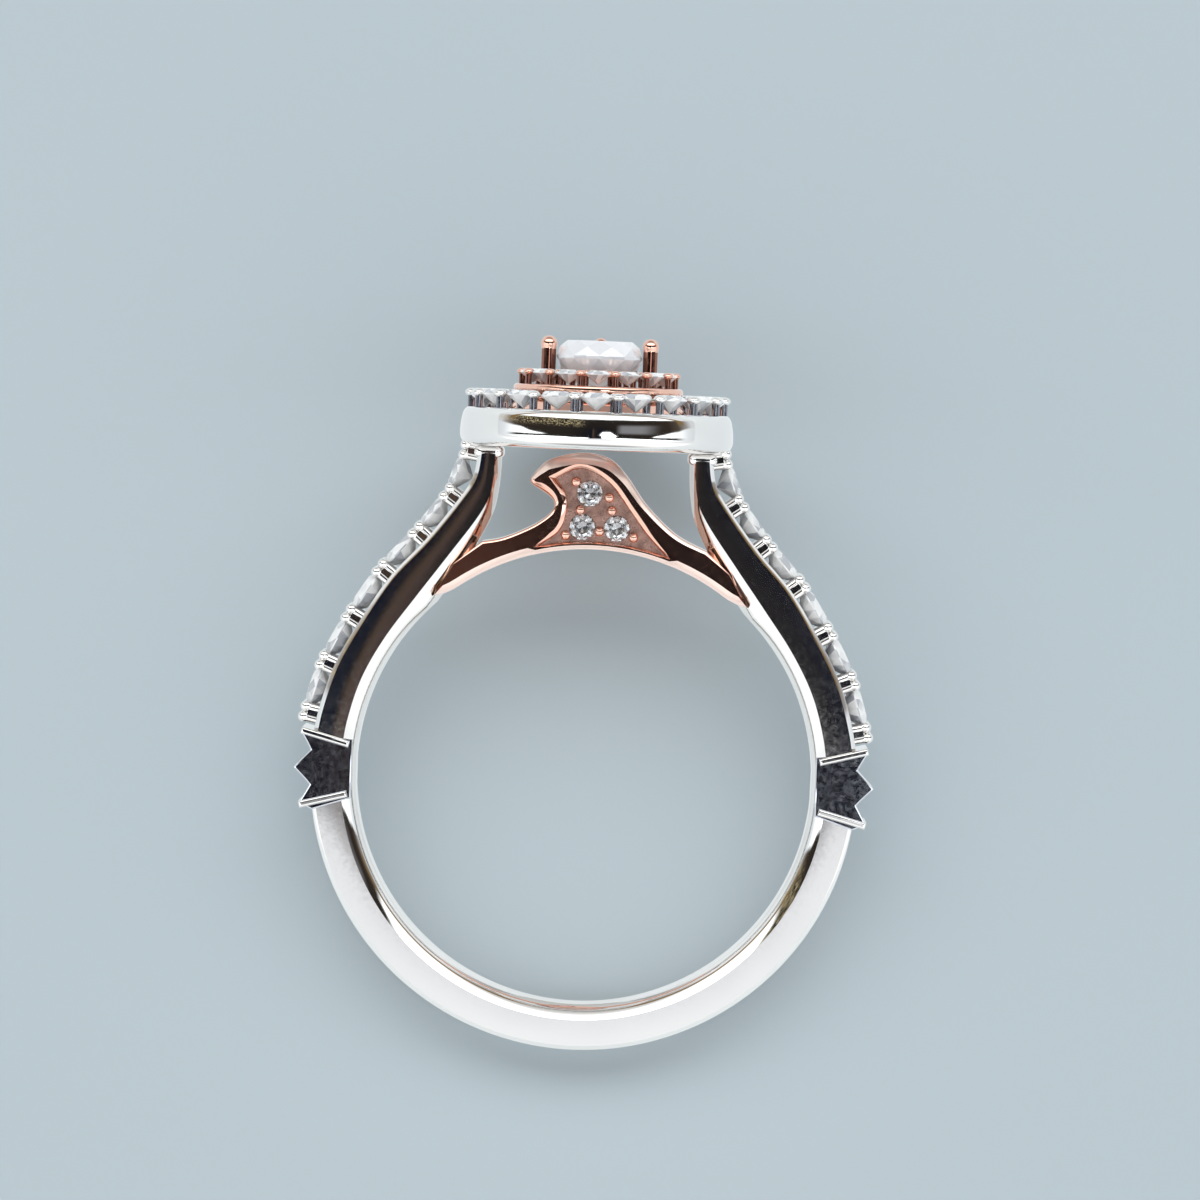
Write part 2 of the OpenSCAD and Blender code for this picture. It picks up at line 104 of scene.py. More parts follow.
# Shared prongs and stones of the shoulders
PRONG_ROWS = [1, 2, 3, 4, 5, 6, 8]
PRONG_Y = 0.74
PRONG_APART = 0.2  # how far the two halves of a shared prong stand from its middle
PRONG_H = 0.5
PRONG_R = 0.16
PRONG_BEAD_R = 0.21
PRONG_BAR = (0.13, 0.5)  # half width and height of the bar between the halves
PRONG_BAR_SINK = 0.1
PRONG_BAR_END = 0.2
PRONG_BAR_EDGE = 0.02
STONE_SHARE = 0.87
SHOULDER_GIRDLE = 0.4
SEAT_ROOM = 0.08
SEAT_DEPTH = 0.47  # depth below a stone's girdle and height above it, as shares of its diameter
SEAT_HEIGHT = 0.5
SEAT_TIP_R = 0.02

# Collars
COLLAR_TIP_R = 10.98
COLLAR_END_R = COLLAR_TIP_R - 0.15
COLLAR_ANGLE = math.radians(7.2)
COLLAR_FLARE = math.radians(1.6)
COLLAR_IN_R = BORE_R + 0.2
NOTCH_R = BAND_R + 0.02
NOTCH_BEND = 0.25  # where a scallop bends most, as a share of the way to its tip, and how far inwards
NOTCH_SINK = 0.04
COLLAR_HALF = 1.14
COLLAR_EDGE = 0.05
COLLAR_LEAN = 0.02
COLLAR_FLAT = 0.9997
SLAB_LEAST = 0.35
RIDGE_DEPTH = 1.25
RIDGE_HALF = 0.13
RIDGE_EDGE = 0.09
RIDGE_ENDS = [(8.96, math.radians(6.0)), (10.82, math.radians(7.5))]

# Head. The pear outline is a round end and two side arcs, and its offsets share the same centres.
PEAR_HALF = 1.62
PEAR_TIP = 3.24
SIDE_R = (PEAR_TIP ** 2 + PEAR_HALF ** 2) / (2 * PEAR_HALF)
SIDE_C = SIDE_R - PEAR_HALF
SIDE_ANGLE = math.acos(SIDE_C / SIDE_R)
TRAY_BULGE = 3.55
HEAD_Y = (PEAR_HALF - PEAR_TIP) / 2

TRAY_Z = 12.45
TRAY_IN = 0.6
TRAY_EDGE_R = 0.05
TRAY_FLOOR_Z = 13.0
TRAY_WELL = 1.84
TRAY_FOOT = TRAY_BULGE - 0.385
TRAY_RIM = TRAY_BULGE - 0.3
TRAY_SIDE_FOOT = (TRAY_BULGE - 0.3224, 12.4668)
TRAY_SIDE = [(0.42, -75, -1.7), (2.86, -1.7, 13.7), (0.42, 13.7, 58.5)]  # radius, first and last slope
OUTER_COUNT = 20
OUTER_LINE = 2.68
OUTER_STONE = 1.26
OUTER_DECK_Z = 13.85
OUTER_POSTS = [(0.46, 0.26), (-0.54, 0.2)]  # how far outside the stones' line, and the cap's radius
OUTER_STEM_R = 0.15
OUTER_CAP = 0.16  # half the cap's height
OUTER_POST_OVER = 0.19
INNER_COUNT = 16
INNER_LINE = 0.9
INNER_STONE = 0.98
INNER_DECK_Z = 14.82
INNER_POSTS = [(0.37, 0.2), (-0.43, 0.14)]
INNER_STEM_R = 0.12
INNER_CAP = 0.13
INNER_POST_OVER = 0.16
ROUND_DEPTH = 0.4  # a round stone's height below its girdle, as a share of its diameter
GAP = 0.02
INNER_WELL = TRAY_WELL - GAP
INNER_SECTION = [  # offset, height and the corner's radius
    (1.1, TRAY_FLOOR_Z + GAP, 0), (INNER_WELL, TRAY_FLOOR_Z + GAP, 0.05), (INNER_WELL, OUTER_DECK_Z, 0.1),
    (1.34, INNER_DECK_Z - 0.5, 0.06), (1.38, INNER_DECK_Z - 0.36, 0.05), (1.58, INNER_DECK_Z - 0.32, 0.14),
    (1.58, INNER_DECK_Z, 0.14), (0, INNER_DECK_Z, 0), (0, INNER_DECK_Z - 0.25, 0),
    (0.8, INNER_DECK_Z - 0.7, 0.2),
]

CLAW_R = 0.28
CLAW_TIP_R = 0.31
CLAW_Z = 16.36
TIP_CLAW_Z = 16.4
TIP_CLAW_R = 0.24
TIP_CLAW_BEAD_R = 0.27

# Wave bridge
BRIDGE_HALF = 1.0
BRIDGE_ROWS = (5, 4)  # the shoulder's rows that it meets
BRIDGE_LEAST = 0.45
FIELD_DEPTH = 0.3
LIP_DEPTH = 0.16
LIP_SLOPE = math.radians(35)
LIP_WIDE = 0.19
LIP_NARROW = 0.08
WAVE_STONE_D = 0.98
WAVE_SEAT_ROOM = 0.01
WAVE_SEAT_DEPTH = 0.46
WAVE_BEAD = (0.16, 0.08, 0.19, 0.05)  # stem's radius, height, bead's radius and foot
WAVE_BEAD_SINK = 0.04
WAVE_BEAD_SIDES = 16
WAVE_STONES = [(-0.17, 10.755), (-0.41, 9.475), (0.90, 9.465)]
WAVE_BEADS = [
    (-0.70, 11.17), (0.57, 10.62), (-0.50, 10.12), (0.69, 10.12), (0.25, 9.33), (-1.02, 9.15),
    (1.54, 9.15),
]
CREST = [  # x, z and the width of the rounded rim there
    (-2.42, 11.25, 0.14), (-2.34, 11.39, 0.18), (-2.12, 11.66, 0.26), (-1.69, 12.00, 0.36),
    (-0.55, 12.28, 0.42), (0.50, 12.10, 0.40), (1.22, 11.45, 0.28), (2.01, 10.38, 0.20),
    (3.15, 9.32, 0.16), (4.36, 8.72, 0.12),
]
HOLLOW = [  # the same along the wave's hollow side
    (-4.18, 8.80, 0.09), (-3.38, 8.97, 0.09), (-2.40, 9.41, 0.09), (-1.82, 9.79, 0.09),
    (-1.53, 10.12, 0.11), (-1.50, 10.38, 0.15), (-1.70, 10.62, 0.23), (-2.05, 10.84, 0.26),
    (-2.31, 11.00, 0.16), (-2.41, 11.12, 0.14), (-2.42, 11.25, 0.14),
]
CREST_STEPS = 8
HOLLOW_STEPS = 6
ARC_STEPS = 48
JOINT_SINK = 0.35  # how far the bridge's ends run into the shoulders' inner sides
TIP_RISE = 0.3  # how far its lowest corners rise off the finger hole, over TIP_STEPS of its arc
TIP_STEPS = 4
TIP_SHARE = 0.2  # where those corners lie between the bridge's two rows of the shoulder
CREST_SLOPE = math.radians(25)
ARC_SLOPE = math.radians(30)
ARC_RIM = 0.16  # rim of the finger hole's arc under the stone field, and how much wider past it
ARC_RIM_MORE = 0.14
ARC_RIM_DEEP = 1.2
HOLLOW_RIM_DEEP = 1.1
JOINT_RIM = (0.01, 0.01, 0)
CORNER_RIM = (0.08, 0.6, ARC_SLOPE)
FIELD_LOW_R = 8.94
FIELD_TIPS = (-2.05, 2.80)  # x of the field's two lower corners
FIELD_PAST = 0.12  # how far past them the rim begins to widen, and over which length
FIELD_BLEND = 0.2
FIELD_RIGHT = [(-1.46, 11.28), (-0.52, 11.68), (0.54, 11.18), (1.39, 10.12), (2.08, 9.22)]
FIELD_LEFT = [(-1.62, 8.98), (-1.28, 9.28), (-1.07, 9.72), (-0.99, 10.35), (-1.11, 10.80), (-1.46, 11.28)]

# Camera, as found from the photograph, and stage
PHOTO_SIZE = 1200
FOCAL_PX = 5271
EYE = (2, -200, 14.9)
TARGET = (0.371, -1.1, 6.76)
UP = (-0.0384, 0, 0.99926)
FLOOR_HALF = 0.6


# Materials

def fill(tree, node, inputs):
    """Links a node's inputs to sockets, or sets them to numbers, vectors or colours."""
    for key, value in inputs.items():
        socket = node.inputs[key]
        if isinstance(value, bpy.types.NodeSocket):
            tree.links.new(value, socket)
        elif socket.type == "RGBA":
            socket.default_value = (*value, 1)
        else:
            socket.default_value = value


def add_node(tree, kind, inputs, **settings):
    node = tree.nodes.new("ShaderNode" + kind)
    for name, value in settings.items():
        setattr(node, name, value)
    fill(tree, node, inputs)
    return node.outputs


def node_material(name):
    """A new material with its node tree and its Principled shader."""
    material = bpy.data.materials.new(name)
    material.use_nodes = True
    tree = material.node_tree
    return material, tree, tree.nodes["Principled BSDF"]


def noise(tree, scale, detail=2.0, space="Object"):
    """Noise in a space of the Texture Coordinate node."""
    place = add_node(tree, "TexCoord", {})[space]
    return add_node(tree, "TexNoise", {"Vector": place, "Scale": scale, "Detail": detail})["Fac"]


def spread(tree, value, low, high, start=0.3, end=0.7, kind="LINEAR"):
    """Maps start..end, the middle of a noise if they aren't given, to low..high."""
    inputs = {"Value": value, "From Min": start, "From Max": end, "To Min": low, "To Max": high}
    return add_node(tree, "MapRange", inputs, interpolation_type=kind)["Result"]


def mix(tree, factor, one, two, blend="MIX"):
    """Mixes two colours, each given as itself or as a socket."""
    inputs = {"Factor": factor, "A": one, "B": two}
    return add_node(tree, "Mix", inputs, data_type="RGBA", blend_type=blend)["Result"]


def combined(tree, operation, one, two):
    """A sum, product or the like of two values."""
    return add_node(tree, "Math", {0: one, 1: two}, operation=operation)["Value"]


def scaled(tree, vector, factor):
    return add_node(tree, "VectorMath", {0: vector, "Scale": factor}, operation="SCALE")["Vector"]


def polished_metal(name, one, two, rough, bump=0.02, grain=0.35, metallic=1.0, uneven=0.35):
    """Polished gold: a colour that drifts by a grain per millimetre, faint polishing marks and uneven
    roughness."""
    mark_scale, mark_detail, mark_depth = 6.0, 4.0, 0.01
    material, tree, shader = node_material(name)
    marks = noise(tree, mark_scale / MM, mark_detail)
    relief = add_node(tree, "Bump", {"Strength": bump, "Distance": mark_depth * MM, "Height": marks})
    fill(tree, shader, {
        "Metallic": metallic,
        "Base Color": mix(tree, noise(tree, grain / MM), one, two),
        "Roughness": spread(tree, marks, rough * (1 - uneven), rough * (1 + uneven)),
        "Normal": relief["Normal"],
    })
    return material


def cut_diamond(name, light, dark, clear, start=0.3, end=0.7):
    """Diamond, clear by a share. Its base colour paints the facets' reflections: each facet is painted from
    light to dark by the way it faces, and only those past a start of the noise are dark."""
    by_facing, by_place, drift_scale, most_rough = 2.4, 0.3, 1.5, 0.012
    material, tree, shader = node_material(name)
    facet = add_node(tree, "NewGeometry", {})
    facing = scaled(tree, facet["True Normal"], by_facing)
    place = scaled(tree, facet["Position"], by_place / MM)
    both = add_node(tree, "VectorMath", {0: facing, 1: place})["Vector"]
    # painted reflections: a tone from light to dark for each facet, by the way it faces
    painted_glint = add_node(tree, "TexNoise", {"Vector": both, "Scale": 1.0, "Detail": 0.0})["Fac"]
    fill(tree, shader, {
        "Transmission Weight": clear,
        "IOR": 2.417,
        "Base Color": mix(tree, spread(tree, painted_glint, 0.0, 1.0, start, end), light, dark),
        "Roughness": spread(tree, noise(tree, drift_scale / MM), 0.0, most_rough),
    })
    return material


WHITE_GOLD = polished_metal("white_gold", (0.83, 0.82, 0.80), (0.76, 0.75, 0.74), 0.05, 0.008)
# Painted shade: a darker copy of white gold for the stems of the outer halo's posts, deep between the
# stones
SHADED_WHITE = polished_metal("shaded_white_gold", (0.29, 0.29, 0.32), (0.22, 0.22, 0.25), 0.1, 0.008)
COLLAR_GOLD = polished_metal("textured_white_gold", (0.68, 0.70, 0.75), (0.49, 0.52, 0.58), 0.08,
                             0.07, 3.0)
ROSE_GOLD = polished_metal("rose_gold", (0.88, 0.55, 0.44), (0.80, 0.47, 0.37), 0.06, 0.01)
# Painted shade: a dark copy of rose gold for the stems of the claws and of the inner halo's posts
SHADED_ROSE = polished_metal("shaded_rose_gold", (0.31, 0.14, 0.105), (0.25, 0.11, 0.08), 0.08, 0.01)
# Satin rose gold with a painted highlight: the roughness is a satin finish, and the paler, partly diffuse
# tone stands for the bright reflections on the roundings
SATIN_HIGHLIGHT_ROSE = polished_metal("satin_rose_gold_painted_highlight", (1.0, 0.80, 0.72), (0.97, 0.75, 0.66), 0.24, 0.0,
                            metallic=0.55, uneven=0.05)
MATTE_ROSE = polished_metal("matte_rose_gold", (0.74, 0.44, 0.36), (0.01, 0.005, 0.004), 0.3, 0.5, 3.0)
# Diamonds whose facets carry painted reflections
HALO_DIAMOND = cut_diamond("halo_diamond", (1, 1, 1), (0.5, 0.52, 0.56), 0.2, 0.5, 0.62)
STONE_MATERIALS = {
    "centre": cut_diamond("centre_diamond", (0.86, 0.875, 0.90), (0.70, 0.72, 0.76), 0.12),
    "outer": HALO_DIAMOND,
    "inner": HALO_DIAMOND,
    "shoulder": cut_diamond("shoulder_diamond", (1, 1, 1), (0.46, 0.48, 0.52), 0.3, 0.5, 0.62),
    "wave": cut_diamond("wave_diamond", (0.97, 0.98, 1.0), (0.30, 0.31, 0.33), 0.9),
}


# Shapes

def keep_faces_flat(mesh, least):
    """Marks the rim of the front and back faces sharp, so that they shade as true planes. Their
    normals agree with the front's to at least this cosine."""
    flat = [abs(face.normal.dot(FRONT)) > least for face in mesh.polygons]
    sides = {}
    for face in mesh.polygons:
        for key in face.edge_keys:
            sides.setdefault(key, []).append(flat[face.index])
    for edge in mesh.edges:
        if len(set(sides.get(edge.key, []))) == 2:
            edge.use_edge_sharp = True


def mesh_from(name, points, faces, materials=(), paint=None):
    """Mesh from upright millimetre points, with its doubles merged and its normals outwards."""
    mesh = bpy.data.meshes.new(name)
    mesh.from_pydata([LAY @ Vector(p) for p in points], [], faces)
    for material in materials:
        mesh.materials.append(material)
    if paint:
        mesh.polygons.foreach_set("material_index", paint)
    tidy = bmesh.new()
    tidy.from_mesh(mesh)
    bmesh.ops.remove_doubles(tidy, verts=tidy.verts, dist=MERGE * MM)
    bmesh.ops.recalc_face_normals(tidy, faces=tidy.faces)
    tidy.to_mesh(mesh)
    tidy.free()
    return mesh


def add_object(name, data):
    thing = bpy.data.objects.new(name, data)
    bpy.context.scene.collection.objects.link(thing)
    return thing


def add_piece(name, shape, materials, node, crease=CREASE, flat=0.99999):
    """Makes a piece from a shape, smooth up to the crease angle, that stands for a node."""
    mesh = mesh_from(name, shape.points, shape.faces, materials, shape.paint)
    mesh.shade_smooth()
    mesh.set_sharp_from_angle(angle=math.radians(crease))
    keep_faces_flat(mesh, flat)
    piece = add_object(name, mesh)
    weighted = piece.modifiers.new("weighted normals", "WEIGHTED_NORMAL")
    weighted.keep_sharp = True
    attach(piece, "root")
    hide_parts(node)
    return piece


def skin(rows, width):
    """Faces between rows of points that run round."""
    faces = []
    for i in range(rows - 1):
        here, there = i * width, (i + 1) * width
        for j in range(width):
            k = (j + 1) % width
            faces.append((here + j, there + j, there + k, here + k))
    return faces


class Shape:
    """Points and faces that grow from several bodies, and the number of each face's material."""

    def __init__(self):
        self.points = []
        self.faces = []
        self.paint = []

    def add(self, points, faces, paint=0):
        start = len(self.points)
        self.points += points
        self.faces += [tuple(start + i for i in face) for face in faces]
        self.paint += [paint] * len(faces) if isinstance(paint, int) else paint

    def tube(self, rings, paint=0):
        """Skin over closed rings of equal length, with flat ends."""
        n, m = len(rings), len(rings[0])
        ends = [tuple(range(m)), tuple((n - 1) * m + j for j in reversed(range(m)))]
        self.add([p for ring in rings for p in ring], skin(n, m) + ends, paint)

    def hoop(self, rings):
        """Skin over closed rings that goes on from the last one to the first."""
        m = len(rings[0])
        count = len(rings) * m
        faces = [tuple(i % count for i in face) for face in skin(len(rings) + 1, m)]
        self.add([p for ring in rings for p in ring], faces)

    def lathe(self, profile, place, sides=20, stem=0):
        """Turns a profile of (radius, height) rows, from its foot to its top, and places it. Its first
        rows may be a stem, which gets the second material."""
        angles = [2 * math.pi * k / sides for k in range(sides)]
        rings = [[tuple(place @ Vector((r * math.cos(a), r * math.sin(a), h))) for a in angles]
                 for r, h in profile]
        paint = [1 if i < stem else 0 for i in range(len(rings) - 1) for _ in angles]
        self.tube(rings, paint + [1 if stem else 0, 0])


def spline(points, steps):
    """Smooth curve through points of any width, with some steps between each two."""
    n = len(points)
    out = []
    for i in range(n - 1):
        a, b, c, d = (points[max(0, min(n - 1, i + k))] for k in (-1, 0, 1, 2))
        for k in range(steps):
            t = k / steps
            out.append(tuple(
                (2 * q + (r - p) * t + (2 * p - 5 * q + 4 * r - s) * t ** 2
                 + (3 * q - p - 3 * r + s) * t ** 3) / 2
                for p, q, r, s in zip(a, b, c, d)
            ))
    return out + [tuple(points[-1])]


def quarter(steps):
    """Pairs (sine, one minus cosine) from 0 to 90 degrees, for rounded edges."""
    return [(math.sin(a), 1 - math.cos(a)) for a in (math.pi / 2 * k / steps for k in range(steps + 1))]


def bead_profile(r, height, bead, foot=0.1):
    """A prong: a stem from below its foot up, and a rounded bead on top."""
    pole, margin, steps = 0.001, 0.03, 9
    start = math.asin(min(1.0, r / bead))
    neck = height - bead * math.cos(start) - margin
    rows = [(pole, -foot), (r, -foot), (r, neck - margin), (r, neck)]
    for k in range(steps + 1):
        a = math.pi - start - (math.pi - start) * k / steps
        rows.append((max(pole, bead * math.sin(a)), height + bead * math.cos(a)))
    return rows


def capped_profile(stem, top, cap, cap_half, foot=0.1):
    """A halo post: a short stem, and a wide flattened bead whose top is given."""
    pole, low, steps, neck = 0.001, -48, 9, 0.75
    centre = top - cap_half
    rows = [(pole, -foot), (stem, -foot), (stem, centre - cap_half * neck)]
    for k in range(steps + 1):
        a = math.radians(low + (90 - low) * k / steps)
        rows.append((max(pole, cap * math.cos(a)), centre + cap_half * math.sin(a)))
    return rows


def upright(x, y, z, angle=0.0):
    """Place at a point, turned round Z."""
    return Matrix.Translation((x, y, z)) @ Matrix.Rotation(angle, 4, "Z")


# Pear outline

def polar(r, angle):
    """Point in a plane at a distance and an angle from zero."""
    return Vector((r * math.cos(angle), r * math.sin(angle)))


def pear_point(d, angle):
    """Point of the outline at offset d where it faces an angle, on the right side."""
    if angle <= 0:
        return polar(PEAR_HALF + d, angle)
    if angle <= SIDE_ANGLE:
        return Vector((-SIDE_C, 0)) + polar(SIDE_R + d, angle)
    return Vector((0, PEAR_TIP)) + polar(d, angle)


def pear_angles(front=36, side=28, tip=12):
    """Directions that the outline's right half faces, from its front to its tip."""
    arcs = (-math.pi / 2, 0, front), (0, SIDE_ANGLE, side), (SIDE_ANGLE, math.pi / 2, tip)
    return [low + (high - low) * i / steps for low, high, steps in arcs for i in range(steps)]


def pear_loop(d, z):
    """Whole outline at an offset and a height, round from the front."""
    right = [pear_point(d, a) for a in pear_angles()]
    loop = right + [Vector((0, PEAR_TIP + d))] + [Vector((-p.x, p.y)) for p in reversed(right[1:])]
    return [(p.x, p.y + HEAD_Y, z) for p in loop]


def pear_lengths(d):
    """Lengths of the front quarter, the side arc and the whole right half at an offset."""
    front = (PEAR_HALF + d) * math.pi / 2
    side = (SIDE_R + d) * SIDE_ANGLE
    return front, side, front + side + d * (math.pi / 2 - SIDE_ANGLE)


def on_pear(d, share, push, z):
    """Place at a share of the whole outline, pushed outwards by some more, with X facing outwards."""
    front, side, half = pear_lengths(d)
    s = min(share, 1 - share) * 2 * half
    if s < front:
        angle = s / (PEAR_HALF + d) - math.pi / 2
    elif s < front + side:
        angle = (s - front) / (SIDE_R + d)
    else:
        angle = SIDE_ANGLE + (s - front - side) / d
    p = pear_point(d + push, angle)
    if share > 0.5:
        return upright(-p.x, p.y + HEAD_Y, z, math.pi - angle)
    return upright(p.x, p.y + HEAD_Y, z, angle)


def rounded(section, steps):
    """Rounds the corners of a closed section of rows: offset, height and the corner's radius."""
    out = []
    corners = [Vector(row[:2]) for row in section]
    for i, (p, row) in enumerate(zip(corners, section)):
        radius = row[2]
        if not radius:
            out.append(tuple(p))
            continue
        a = (corners[i - 1] - p).normalized() * radius
        b = (corners[(i + 1) % len(corners)] - p).normalized() * radius
        for k in range(steps + 1):
            t = k / steps
            out.append(tuple(p + a * (1 - t) ** 2 + b * t ** 2))
    return out


def on_surface(point):
    """Point of a tray, brought forwards if it would sink below the surface that the ring lies on."""
    x, y, z = point
    return x, y + min(0, (LAY @ Vector(point)).z) / (FRONT.z * MM), z


def pear_tray(shape, section):
    """Closed ring that follows the pear outline. Its tip is a little flat where the ring lies on it."""
    shape.hoop([[on_surface(p) for p in pear_loop(d, z)] for d, z in section])


# Band

def edge_at(row):
    """Outer edge, inner edge and innermost line of a station of the band, as X-Z vectors."""
    outer, inner = Vector(row[:2]), Vector(row[2:4])
    inwards = (inner - outer).normalized()
    line = inner + inwards * row[4]
    if line.length < BORE_R:
        reach = inner.dot(inwards)
        line = inner + inwards * (-reach - math.sqrt(reach ** 2 - inner.length ** 2 + BORE_R ** 2))
    return outer, inner, line


def band_stations():
    """Stations from the bottom up to the head on the right, as in SHOULDER_ROWS."""
    lower = []
    for k in range(LOW_STEPS):
        a = -math.pi / 2 + LOW_TURN * k / LOW_STEPS
        outer, inner = polar(BAND_R - INSIDE_BOX, a), polar(FACE_R, a)
        lower.append((*outer, *inner, BAND_ROUND))
    return lower + spline(SHOULDER_ROWS, SHOULDER_STEPS)


def band_section(row, side):
    """Closed section at a station: chamfered outer edges, side faces and a rounded inner side."""
    outer, inner, line = edge_at(row)
    depth = (line - inner).length
    inwards = (inner - outer).normalized()
    strip = STRIP_HALF if line.length < BORE_R + 0.01 else SHOULDER_STRIP_HALF
    edge_y = BAND_HALF - CROWN
    turn = math.pi / 2 - EDGE_LEAN
    edge_run = EDGE - EDGE_R * (1 - math.cos(turn))
    foot_y = edge_y - EDGE_R * math.sin(turn) - edge_run * math.tan(EDGE_LEAN)
    profile = []
    edge_steps, round_steps = 5, 7
    for k in range(edge_steps + 1):
        a = turn * k / edge_steps
        profile.append((EDGE_R * (1 - math.cos(a)), foot_y + EDGE_R * math.sin(a)))
    profile.append((EDGE, edge_y))
    face = (inner - outer).length
    for t in (0.25, 0.5, 0.75, 1):
        profile.append((EDGE + (face - EDGE) * t, BAND_HALF - CROWN * (2 * t - 1) ** 2))
    control = (face + depth * BEND_DEEP, strip + (edge_y - strip) * BEND_FALL)
    for k in range(1, round_steps + 1):
        t = k / round_steps
        profile.append(tuple(
            (1 - t) ** 2 * a + 2 * t * (1 - t) * b + t ** 2 * c
            for a, b, c in zip((face, edge_y), control, (face + depth, strip))
        ))
    whole = profile + [(r, -y) for r, y in reversed(profile)]
    points = [outer + inwards * r for r, _ in whole]
    return [(side * p.x, y, p.y) for p, (_, y) in zip(points, whole)]


def stone_cone(shape, place, diameter):
    """Seat of a stone: a cone from a little above its girdle down."""
    r = diameter / 2 + SEAT_ROOM
    profile = [(SEAT_TIP_R, -SEAT_DEPTH * diameter), (r, 0), (r, SEAT_HEIGHT * diameter)]
    shape.lathe(profile, place, FINE_SIDES)


def outward(i):
    """Direction out of the shoulder at one of its rows, in X-Z."""
    a = Vector(SHOULDER_ROWS[i - 1][:2])
    b = Vector(SHOULDER_ROWS[min(i + 1, len(SHOULDER_ROWS) - 1)][:2])
    t = (b - a).normalized()
    return Vector((t.y, -t.x))


def stand_on(p, n, y, side):
    """Place on an X-Z point with its own Z along n, mirrored for the left side."""
    return upright(side * p.x, y, p.y) @ Matrix.Rotation(side * math.atan2(n.x, n.y), 4, "Y")


def shoulder_stone_places(side):
    """Place and diameter of each shoulder stone."""
    feet = [Vector(SHOULDER_ROWS[i][:2]) for i in PRONG_ROWS]
    middles = [foot + outward(i) * SHOULDER_GIRDLE for foot, i in zip(feet, PRONG_ROWS)]
    for k in range(len(PRONG_ROWS) - 1):
        along = (feet[k + 1] - feet[k]).normalized()
        normal = Vector((along.y, -along.x))
        centre = (feet[k] + feet[k + 1]) / 2 + normal * SHOULDER_GIRDLE
        yield stand_on(centre, normal, 0, side), STONE_SHARE * (middles[k + 1] - middles[k]).length


def cut_by(piece, cutter, crease):
    """Takes a shape of upright points out of a piece, for good."""
    tool = add_object("cutter", mesh_from("cutter", cutter.points, cutter.faces))
    cut = piece.modifiers.new("seats", "BOOLEAN")
    cut.object = tool
    cut.operation = "DIFFERENCE"
    cut.solver = "EXACT"
    piece.modifiers.move(len(piece.modifiers) - 1, 0)
    weighted = piece.modifiers["weighted normals"]
    weighted.show_viewport = False
    bpy.context.view_layer.update()
    done = piece.evaluated_get(bpy.context.evaluated_depsgraph_get())
    piece.data = bpy.data.meshes.new_from_object(done)
    piece.modifiers.remove(cut)
    weighted.show_viewport = True
    bpy.data.objects.remove(tool)
    piece.data.set_sharp_from_angle(angle=math.radians(crease))


def build_band():
    rows = band_stations()
    left = [band_section(row, -1) for row in reversed(rows)]
    right = [band_section(row, 1) for row in rows[1:]]
    shape = Shape()
    shape.tube(left + right)
    band = add_piece("band", shape, [WHITE_GOLD], "shank", crease=BAND_CREASE)
    seats = Shape()
    for side in (-1, 1):
        for place, diameter in shoulder_stone_places(side):
            stone_cone(seats, place, diameter)
    cut_by(band, seats, BAND_CREASE)


def build_pads():
    """The block under each side of the head, with well rounded edges."""
    shape = Shape()
    middle, half = (PAD_X[0] + PAD_X[1]) / 2, (PAD_X[1] - PAD_X[0]) / 2
    rim_steps, corner_steps = 7, 6
    low = [(PAD_RIM_R * (1 - run), PAD_Z[0] + PAD_RIM_R * rise) for run, rise in quarter(rim_steps)]
    high = [(inset, PAD_Z[0] + PAD_Z[1] - z) for inset, z in reversed(low)]
    for side in (-1, 1):
        loops = []
        for inset, z in low + high:
            loop = []
            for cx, cy, start in ((1, 1, 0), (-1, 1, 90), (-1, -1, 180), (1, -1, 270)):
                for k in range(corner_steps + 1):
                    a = math.radians(start + 90 * k / corner_steps)
                    x = middle + cx * (half - PAD_CORNER_R) + (PAD_CORNER_R - inset) * math.cos(a)
                    y = cy * (BAND_HALF - PAD_CORNER_R) + (PAD_CORNER_R - inset) * math.sin(a)
                    loop.append((side * x, y, z))
            loops.append(loop)
        shape.tube(loops)
    add_piece("head_pads", shape, [WHITE_GOLD], "shank")


def inward_normals(points, least):
    """Directions into a closed X-Z outline at its points, longer at corners, but not past 1 / least."""
    points = [Vector(p) for p in points]
    n = len(points)
    area = sum(points[i - 1].x * points[i].y - points[i].x * points[i - 1].y for i in range(n))
    turn = 1 if area > 0 else -1
    out = []
    for i in range(n):
        a = (points[i] - points[i - 1]).normalized()
        b = (points[(i + 1) % n] - points[i]).normalized()
        na, nb = Vector((-a.y, a.x)) * turn, Vector((-b.y, b.x)) * turn
        mid = (na + nb).normalized()
        out.append(mid / max(least, mid.dot(na)))
    return out


def filled(loops):
    """Triangles over closed loops of X-Z points: an outline and its holes."""
    return [tuple(tri) for tri in tessellate_polygon([[(x, z, 0) for x, z in loop] for loop in loops])]


def cap(points, start, count):
    """Triangles over a ring of points, from its first point's number."""
    loop = [(points[start + j][0], points[start + j][2]) for j in range(count)]
    return [tuple(start + j for j in tri) for tri in filled([loop])]


def bevelled_slab(shape, outline, half, bevel, steps=3, paint=0, lean=0.0):
    """Extrudes an X-Z outline to both sides of the band, with rounded rims. Its faces may lean towards
    the band's middle by some share of their height."""
    n = len(outline)
    inwards = inward_normals(outline, SLAB_LEAST)
    rings = []
    for run, rise in quarter(steps):
        ring = []
        for p, w in zip(outline, inwards):
            q = Vector(p) + w * bevel * (1 - run)
            ring.append((q.x, -half + bevel * rise + lean * q.y, q.y))
        rings.append(ring)
    rings += [[(x, -y, z) for x, y, z in ring] for ring in reversed(rings)]
    points = [p for ring in rings for p in ring]
    ends = cap(points, 0, n) + cap(points, (len(rings) - 1) * n, n)
    shape.add(points, skin(len(rings), n) + ends, paint)


